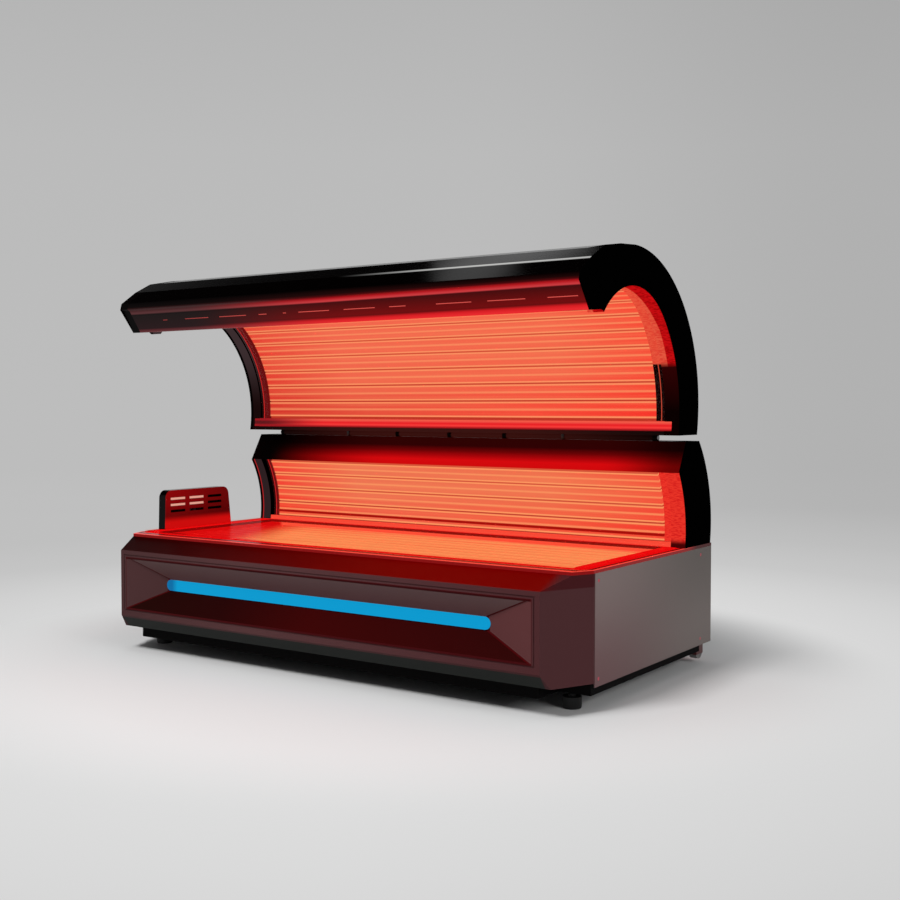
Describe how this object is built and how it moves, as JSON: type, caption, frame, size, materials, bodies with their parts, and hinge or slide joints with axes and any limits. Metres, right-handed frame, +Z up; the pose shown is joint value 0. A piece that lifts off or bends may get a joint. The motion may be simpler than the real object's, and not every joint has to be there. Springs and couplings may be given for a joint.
{
  "type": "red light therapy bed",
  "caption": "Free-standing light therapy bed with a lamp deck, a fixed lamp back and a curved lamp canopy that closes over the deck on a rear hinge held by gas springs, with an air pod at the foot end",
  "frame": {"origin": "centre of the bed's footprint box, on the floor", "axes": "+X along the bed towards its right-hand end as a person facing the open front sees it, +Y from the open front to the back, +Z up"},
  "size_m": [2.2, 1.186, 1.58],
  "materials": {
    "base_frame": "satin powder coat",
    "floor_pan": "satin powder coat",
    "levelling_feet": "matt rubber",
    "front_panel": "gloss moulded",
    "light_strip": "gloss moulded",
    "strip_channel": "plain aluminium",
    "end_panel": "gloss moulded",
    "end_panel_screws": "matt moulded",
    "rear_panel": "satin powder coat",
    "mains_inlet": "matt moulded",
    "deck_trim": "gloss moulded",
    "deck_sheet": "clear acrylic",
    "deck_tray": "plain aluminium",
    "deck_light_bars": "gloss moulded",
    "power_drivers": "plain aluminium",
    "control_box": "matt moulded",
    "fan_housing": "matt moulded",
    "fan_rotor": "matt moulded",
    "roller_bracket": "satin powder coat",
    "roller_wheel": "matt moulded",
    "back_shell": "gloss moulded",
    "back_brow": "satin powder coat",
    "back_cap": "gloss moulded",
    "back_sheet": "clear acrylic",
    "back_light_bars": "gloss moulded",
    "back_reflector": "plain aluminium",
    "back_rail": "matt moulded",
    "back_ribs": "satin powder coat",
    "hinge_shaft": "ground steel",
    "hinge_cover": "matt moulded",
    "spring_brackets": "satin powder coat",
    "spring_cylinder": "satin powder coat",
    "spring_rod": "polished",
    "canopy_fascia": "gloss moulded",
    "fascia_light": "gloss moulded",
    "canopy_sheet": "clear acrylic",
    "canopy_holders": "matt moulded",
    "canopy_rail": "matt moulded",
    "canopy_sill": "satin powder coat",
    "pod_grille": "gloss moulded"
  },
  "bodies": {
    "base": {"base_frame": "base_frame", "floor_pan": "floor_pan", "levelling_feet": "levelling_feet", "front_panel": "front_panel", "light_strip": "light_strip", "strip_channel": "strip_channel", "end_panel_left": "end_panel", "end_panel_right": "end_panel", "end_panel_screws": "end_panel_screws", "rear_panel": "rear_panel", "mains_inlet": "mains_inlet", "deck_trim": "deck_trim", "deck_sheet": "deck_sheet", "deck_tray": "deck_tray", "deck_light_bars": "deck_light_bars", "power_drivers": "power_drivers", "control_box": "control_box", "fan_housing_left": "fan_housing", "fan_housing_right": "fan_housing", "roller_bracket_left": "roller_bracket", "roller_bracket_right": "roller_bracket", "back_shell": "back_shell", "back_brow": "back_brow", "back_cap_left": "back_cap", "back_cap_right": "back_cap", "back_sheet": "back_sheet", "back_light_bars": "back_light_bars", "back_reflector": "back_reflector", "back_rail": "back_rail", "back_ribs": "back_ribs", "back_beam": "back_ribs", "hinge_shaft": "hinge_shaft", "hinge_blocks": "floor_pan", "hinge_cover": "hinge_cover", "spring_brackets": "spring_brackets", "pod_housing": "back_shell", "pod_grille": "pod_grille"},
    "canopy": {"hinge_arms": "spring_brackets", "canopy_beam": "back_ribs", "canopy_ribs": "back_ribs", "canopy_shell": "back_shell", "canopy_fascia": "canopy_fascia", "fascia_light": "fascia_light", "canopy_cap_left": "back_cap", "canopy_cap_right": "back_cap", "canopy_sheet": "canopy_sheet", "canopy_light_bars": "back_light_bars", "canopy_reflector": "back_reflector", "canopy_holders": "canopy_holders", "canopy_rail": "canopy_rail", "canopy_sill": "canopy_sill"},
    "spring_cylinder_left": {"spring_cylinder_left": "spring_cylinder"},
    "spring_cylinder_right": {"spring_cylinder_right": "spring_cylinder"},
    "spring_rod_left": {"spring_rod_left": "spring_rod"},
    "spring_rod_right": {"spring_rod_right": "spring_rod"},
    "fan_rotor_left": {"fan_rotor_left": "fan_rotor"},
    "fan_rotor_right": {"fan_rotor_right": "fan_rotor"},
    "roller_wheel_left": {"roller_wheel_left": "roller_wheel"},
    "roller_wheel_right": {"roller_wheel_right": "roller_wheel"},
    "pod_rotor": {"pod_rotor": "fan_rotor"}
  },
  "joints": [
    {"name": "canopy_hinge", "type": "hinge", "parent": "base", "child": "canopy", "pos_m": [0, 0.362, 0.897], "axis": [1, 0, 0], "range_deg": [0, 55]},
    {"name": "spring_pivot_left", "type": "hinge", "parent": "base", "child": "spring_cylinder_left", "pos_m": [-0.573, 0.5, 0.79], "axis": [1, 0, 0], "range_deg": [-16, 1]},
    {"name": "spring_slide_left", "type": "slide", "parent": "spring_cylinder_left", "child": "spring_rod_left", "axis": [0, -0.919, 0.3941], "range_m": [-0.026, 0.001]},
    {"name": "spring_pivot_right", "type": "hinge", "parent": "base", "child": "spring_cylinder_right", "pos_m": [0.573, 0.5, 0.79], "axis": [1, 0, 0], "range_deg": [-16, 1]},
    {"name": "spring_slide_right", "type": "slide", "parent": "spring_cylinder_right", "child": "spring_rod_right", "axis": [0, -0.919, 0.3941], "range_m": [-0.026, 0.001]},
    {"name": "fan_spin_left", "type": "hinge", "parent": "base", "child": "fan_rotor_left", "pos_m": [-0.45, 0.56, 0.27], "axis": [0, 1, 0], "continuous": true},
    {"name": "roller_spin_left", "type": "hinge", "parent": "base", "child": "roller_wheel_left", "pos_m": [-1.053, 0.555, 0.05], "axis": [1, 0, 0], "continuous": true},
    {"name": "fan_spin_right", "type": "hinge", "parent": "base", "child": "fan_rotor_right", "pos_m": [0.45, 0.56, 0.27], "axis": [0, 1, 0], "continuous": true},
    {"name": "roller_spin_right", "type": "hinge", "parent": "base", "child": "roller_wheel_right", "pos_m": [1.053, 0.555, 0.05], "axis": [1, 0, 0], "continuous": true},
    {"name": "pod_spin", "type": "hinge", "parent": "base", "child": "pod_rotor", "pos_m": [-1.08, -0.117, 0.58464], "axis": [1, 0, 0], "continuous": true}
  ],
  "couplings": [
    {"joint": "spring_pivot_left", "follows": "canopy_hinge", "ratio": -0.25194},
    {"joint": "spring_slide_left", "follows": "canopy_hinge", "m_per_rad": -0.023865},
    {"joint": "spring_pivot_right", "follows": "canopy_hinge", "ratio": -0.25194},
    {"joint": "spring_slide_right", "follows": "canopy_hinge", "m_per_rad": -0.023865}
  ]
}
